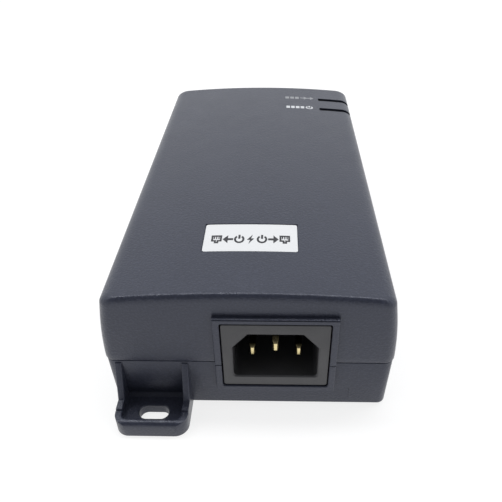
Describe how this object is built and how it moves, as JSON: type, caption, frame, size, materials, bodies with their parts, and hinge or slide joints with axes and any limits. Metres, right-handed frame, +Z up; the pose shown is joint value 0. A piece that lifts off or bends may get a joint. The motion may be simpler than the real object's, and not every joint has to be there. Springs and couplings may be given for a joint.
{
  "type": "poe injector",
  "caption": "Mid-span power over Ethernet injector: two-shell plastic brick with a C14 mains inlet in a raised pad, slotted screw ears, crowned top with label, and two RJ45 ports at the far end",
  "frame": {"origin": "on the resting surface, under the middle of the case and of its overall box", "axes": "+X to the right seen from the inlet end, +Y from the inlet end to the port end, +Z up from the resting face"},
  "size_m": [0.088, 0.185, 0.0458],
  "materials": {
    "case_plastic": "fine spark-eroded texture, dark slate grey",
    "inlet_plastic": "moulded, dark grey",
    "pin_brass": "plated blade",
    "port_plastic": "moulded, black",
    "shield_steel": "nickel plated sheet",
    "contact_gold": "gold plated wire",
    "light_pipe": "smoked polycarbonate",
    "led_lens": "clear lens",
    "board_laminate": "green solder mask on glass laminate",
    "film_yellow": "moulded box",
    "ceramic_blue": "dipped coating",
    "fuse_resin": "moulded resin",
    "ferrite": "sintered",
    "copper_winding": "enamelled copper wire",
    "winding_tape": "polyester tape",
    "can_sleeve": "shrink sleeve",
    "heatsink_aluminium": "cut plate",
    "chip_resin": "moulded epoxy",
    "screw_steel": "zinc plated",
    "sheet_film": "polyester film",
    "label_white": "satin laminated",
    "plate_silver": "satin silver film"
  },
  "bodies": {
    "root": {"board_screw_1": "screw_steel", "board_screw_2": "screw_steel", "board_screw_3": "screw_steel", "board_screw_4": "screw_steel", "bottom_shell": "case_plastic", "bridge_rectifier": "chip_resin", "bulk_capacitor": "can_sleeve", "case_screw_1": "screw_steel", "case_screw_2": "screw_steel", "case_screw_3": "screw_steel", "case_screw_4": "screw_steel", "choke_core": "ferrite", "choke_winding_1": "copper_winding", "choke_winding_2": "copper_winding", "data_port_body": "port_plastic", "data_port_contacts": "contact_gold", "data_port_shield": "shield_steel", "data_transformer_in": "chip_resin", "data_transformer_out": "chip_resin", "inlet_body": "inlet_plastic", "inlet_earth_pin": "pin_brass", "inlet_live_pin": "pin_brass", "inlet_neutral_pin": "pin_brass", "input_heatsink": "heatsink_aluminium", "insulating_sheet": "sheet_film", "interference_capacitor": "film_yellow", "link_led": "led_lens", "link_light_pipe": "light_pipe", "main_board": "board_laminate", "mains_fuse": "fuse_resin", "optocoupler": "chip_resin", "output_capacitor_1": "can_sleeve", "output_capacitor_2": "can_sleeve", "output_heatsink": "heatsink_aluminium", "output_rectifier": "chip_resin", "port_controller": "chip_resin", "power_led": "led_lens", "power_light_pipe": "light_pipe", "power_port_body": "port_plastic", "power_port_contacts": "contact_gold", "power_port_shield": "shield_steel", "rating_plate": "plate_silver", "safety_capacitor": "ceramic_blue", "supply_controller": "chip_resin", "switching_transistor": "chip_resin", "top_label": "label_white", "top_shell": "case_plastic", "transformer_core": "ferrite", "transformer_winding": "winding_tape"}
  },
  "joints": []
}
